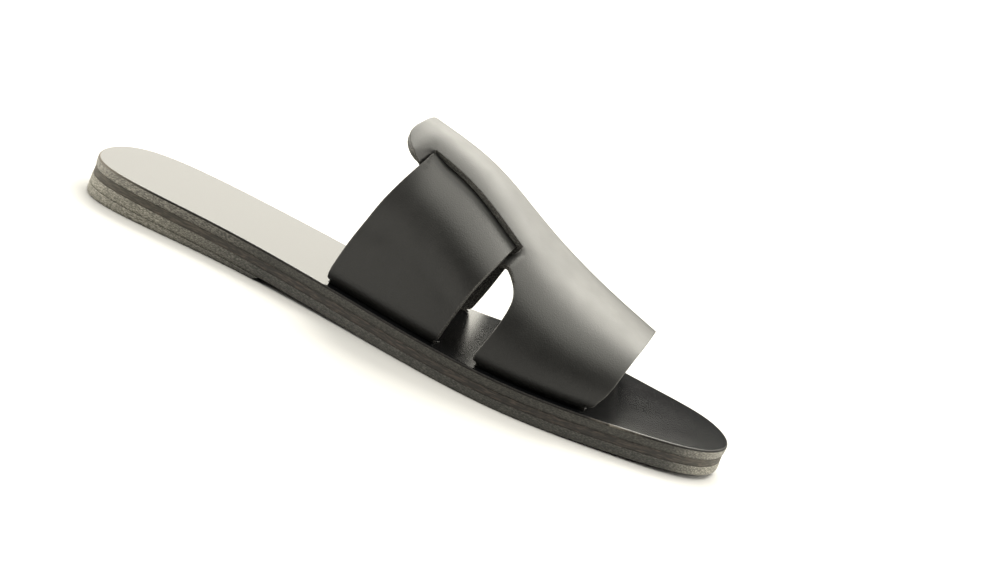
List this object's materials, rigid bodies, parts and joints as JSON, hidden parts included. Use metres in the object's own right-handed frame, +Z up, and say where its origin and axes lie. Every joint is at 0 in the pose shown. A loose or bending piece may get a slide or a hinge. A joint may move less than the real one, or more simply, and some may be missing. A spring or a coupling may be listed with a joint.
{
  "type": "sandal",
  "caption": "Flat black leather slide sandal for the right foot: a toe band runs back as a bridge to a rounded tab, and an instep strap is laced under it through slits.",
  "frame": {"origin": "On the floor, under the middle of the sole's box", "axes": "+X to the toe, +Y to the inner side of the right foot, +Z up"},
  "size_m": [0.2556, 0.0906, 0.076],
  "materials": {
    "upper_leather": "satin, fine grain, raw cut edges",
    "insole_leather": "smooth, half gloss, burnished edge",
    "midsole_board": "matt dyed edge",
    "sole_rubber": "matt, brushed edge"
  },
  "bodies": {
    "root": {"upper": "upper_leather", "insole": "insole_leather", "midsole": "midsole_board", "outsole": "sole_rubber", "heel_lift": "sole_rubber"}
  },
  "joints": []
}
